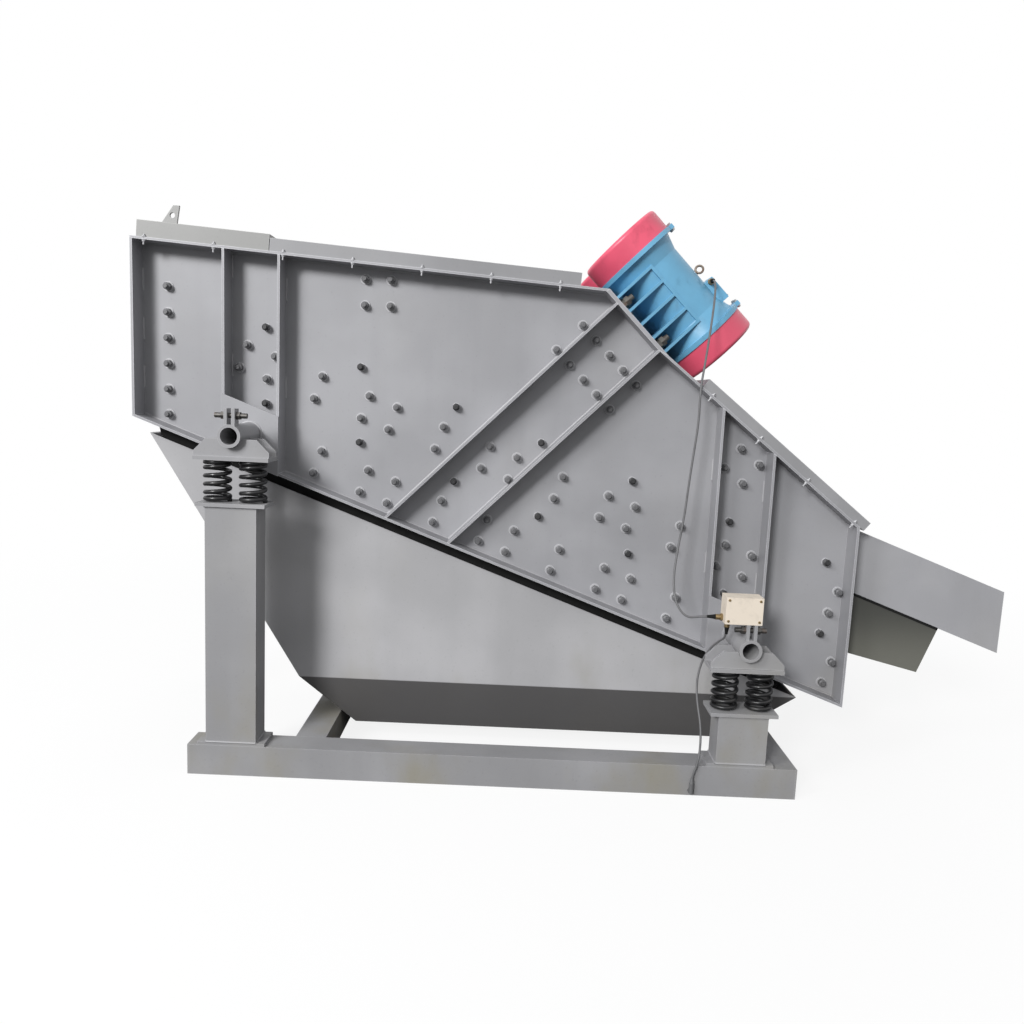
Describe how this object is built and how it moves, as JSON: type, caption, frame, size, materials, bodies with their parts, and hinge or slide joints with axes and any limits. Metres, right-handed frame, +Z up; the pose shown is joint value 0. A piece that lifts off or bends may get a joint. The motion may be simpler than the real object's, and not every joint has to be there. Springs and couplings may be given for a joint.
{
  "type": "vibrating sieve",
  "caption": "Inclined double-deck vibrating sieve on a sprung steel frame, with unbalance motors on a sloping seat, a hopper below and discharge chutes.",
  "frame": {"origin": "middle of the machine's footprint box, on the floor", "axes": "+X towards the discharge chutes, -Y towards the side seen in the picture, +Z up"},
  "size_m": [3.728, 1.96, 2.4013],
  "materials": {
    "grey_paint": "satin",
    "bare_steel": "satin",
    "black_spring": "satin",
    "blue_casting": "satin",
    "red_cover": "satin",
    "rusty_steel": "matte",
    "beige_plastic": "matte",
    "gland_brass": "satin",
    "black_rubber": "matte",
    "grey_cable": "matte"
  },
  "bodies": {
    "base_frame": {"base_beam_near": "grey_paint", "base_beam_far": "grey_paint", "base_cross_beam_feed": "grey_paint", "base_cross_beam_discharge": "grey_paint", "post_feed_near": "grey_paint", "post_feed_far": "grey_paint", "post_discharge_near": "grey_paint", "post_discharge_far": "grey_paint", "springs_feed": "black_spring", "springs_discharge": "black_spring", "hopper_near_wall": "grey_paint", "hopper_far_wall": "grey_paint", "hopper_feed_wall": "grey_paint", "hopper_discharge_wall": "grey_paint", "hopper_brackets": "grey_paint", "cable_elbow": "black_rubber", "supply_cable": "grey_cable"},
    "sieve_box": {"cable_glands": "gland_brass", "clamp_bolts": "bare_steel", "deck_stringers": "grey_paint", "discharge_cover": "grey_paint", "drive_beam": "grey_paint", "edge_flanges_far": "grey_paint", "edge_flanges_near": "grey_paint", "feed_end_wall": "grey_paint", "feed_inlet": "grey_paint", "junction_box": "beige_plastic", "junction_lid": "beige_plastic", "lower_chute": "grey_paint", "lower_cross_beams": "grey_paint", "lower_screen": "bare_steel", "motor_bearings": "bare_steel", "motor_body_far": "blue_casting", "motor_body_near": "blue_casting", "motor_cable": "grey_cable", "motor_covers_far": "red_cover", "motor_covers_near": "red_cover", "motor_eye_bolts": "rusty_steel", "motor_foot_bolts": "bare_steel", "motor_plate": "grey_paint", "motor_stators": "bare_steel", "side_bolts_far": "bare_steel", "side_bolts_near": "bare_steel", "side_plate_far": "grey_paint", "side_plate_near": "grey_paint", "side_ribs_far": "grey_paint", "side_ribs_near": "grey_paint", "spring_saddles": "grey_paint", "terminal_boxes": "blue_casting", "top_cover": "grey_paint", "trunnion_ears": "grey_paint", "trunnion_pads": "grey_paint", "trunnion_pipes": "grey_paint", "upper_chute": "grey_paint", "upper_cross_beams": "grey_paint", "upper_screen": "bare_steel"},
    "rotor_near": {"rotor_shaft_near": "bare_steel", "rotor_weights_near": "bare_steel"},
    "rotor_far": {"rotor_shaft_far": "bare_steel", "rotor_weights_far": "bare_steel"}
  },
  "joints": [
    {"name": "sieve_throw", "type": "slide", "parent": "base_frame", "child": "sieve_box", "axis": [0.7071, 0, 0.7071], "range_m": [-0.005, 0.005], "stiffness_N_per_m": 700000, "springref_m": 0.02611, "deforming": ["springs_feed", "springs_discharge", "supply_cable"]},
    {"name": "rotor_spin_near", "type": "hinge", "parent": "sieve_box", "child": "rotor_near", "pos_m": [0.37178, -0.3, 2.03402], "axis": [0.7071, 0, -0.7071], "continuous": true},
    {"name": "rotor_spin_far", "type": "hinge", "parent": "sieve_box", "child": "rotor_far", "pos_m": [0.37178, 0.3, 2.03402], "axis": [0.7071, 0, -0.7071], "continuous": true}
  ],
  "couplings": [
    {"joint": "rotor_spin_far", "follows": "rotor_spin_near", "ratio": -1}
  ]
}
